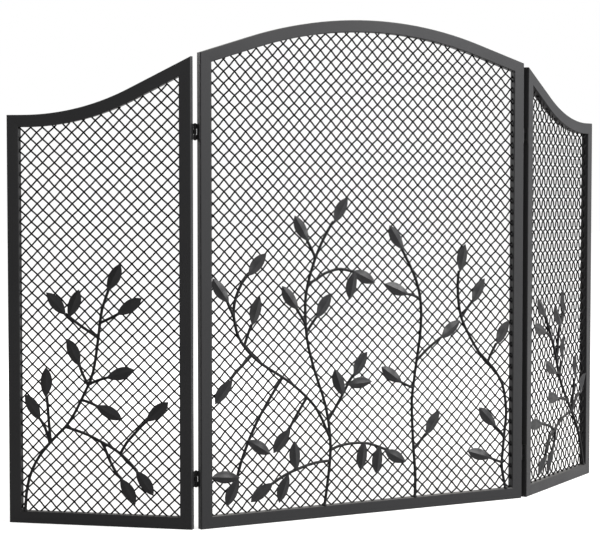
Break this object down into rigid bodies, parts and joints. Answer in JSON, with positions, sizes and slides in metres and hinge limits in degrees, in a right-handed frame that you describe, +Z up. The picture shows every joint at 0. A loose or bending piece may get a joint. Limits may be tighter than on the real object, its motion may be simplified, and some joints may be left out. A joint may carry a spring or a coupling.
{
  "type": "fireplace screen",
  "caption": "Folding fireplace screen: an arched centre panel and hinged side panels of welded tube, each filled with diamond wire mesh and leafy branches.",
  "frame": {"origin": "on the floor, at the middle of the centre panel's bottom rail, halfway through its depth", "axes": "+X along the centre panel to the right as seen from the room, +Y towards the fire, +Z up"},
  "size_m": [1.1267, 0.216, 0.809],
  "materials": {
    "frame_tube": "satin black powder coat with a fine orange-peel texture over welded square steel tube",
    "mesh_wire": "matte black paint on woven steel wire, thicker where the wires cross",
    "branch_rods": "matte black paint on bent round steel rod",
    "leaves": "matte black paint on pressed steel sheet",
    "hinge_plates": "black paint on rolled steel hinge plates, rubbed a little at the knuckles",
    "pins_and_rivets": "black paint on steel pins and rivets"
  },
  "bodies": {
    "centre_panel": {"centre_left_stile": "frame_tube", "centre_right_stile": "frame_tube", "centre_bottom_rail": "frame_tube", "centre_arched_rail": "frame_tube", "centre_mesh_rising_wires": "mesh_wire", "centre_mesh_falling_wires": "mesh_wire", "tall_stem": "branch_rods", "tall_stem_leaves": "leaves", "left_bough": "branch_rods", "left_bough_leaves": "leaves", "middle_stem": "branch_rods", "middle_stem_leaves": "leaves", "right_stem": "branch_rods", "right_stem_leaves": "leaves", "left_upper_hinge_fixed_plate": "hinge_plates", "left_upper_hinge_pin": "pins_and_rivets", "left_lower_hinge_fixed_plate": "hinge_plates", "left_lower_hinge_pin": "pins_and_rivets", "right_upper_hinge_fixed_plate": "hinge_plates", "right_upper_hinge_pin": "pins_and_rivets", "right_lower_hinge_fixed_plate": "hinge_plates", "right_lower_hinge_pin": "pins_and_rivets", "centre_left_rivets": "pins_and_rivets", "centre_right_rivets": "pins_and_rivets"},
    "left_panel": {"left_panel_inner_stile": "frame_tube", "left_panel_outer_stile": "frame_tube", "left_panel_bottom_rail": "frame_tube", "left_panel_top_rail": "frame_tube", "left_mesh_rising_wires": "mesh_wire", "left_mesh_falling_wires": "mesh_wire", "left_vine": "branch_rods", "left_vine_leaves": "leaves", "left_upper_hinge_swing_plate": "hinge_plates", "left_lower_hinge_swing_plate": "hinge_plates", "left_panel_rivets": "pins_and_rivets"},
    "right_panel": {"right_panel_inner_stile": "frame_tube", "right_panel_outer_stile": "frame_tube", "right_panel_bottom_rail": "frame_tube", "right_panel_top_rail": "frame_tube", "right_mesh_rising_wires": "mesh_wire", "right_mesh_falling_wires": "mesh_wire", "right_vine": "branch_rods", "right_vine_leaves": "leaves", "right_upper_hinge_swing_plate": "hinge_plates", "right_lower_hinge_swing_plate": "hinge_plates", "right_panel_rivets": "pins_and_rivets"}
  },
  "joints": [
    {"name": "left_fold", "type": "hinge", "parent": "centre_panel", "child": "left_panel", "pos_m": [-0.309, 0.00725, 0], "axis": [0, 0, -1], "range_deg": [-56, 139]},
    {"name": "right_fold", "type": "hinge", "parent": "centre_panel", "child": "right_panel", "pos_m": [0.309, 0.00725, 0], "axis": [0, 0, 1], "range_deg": [-47, 148]}
  ]
}
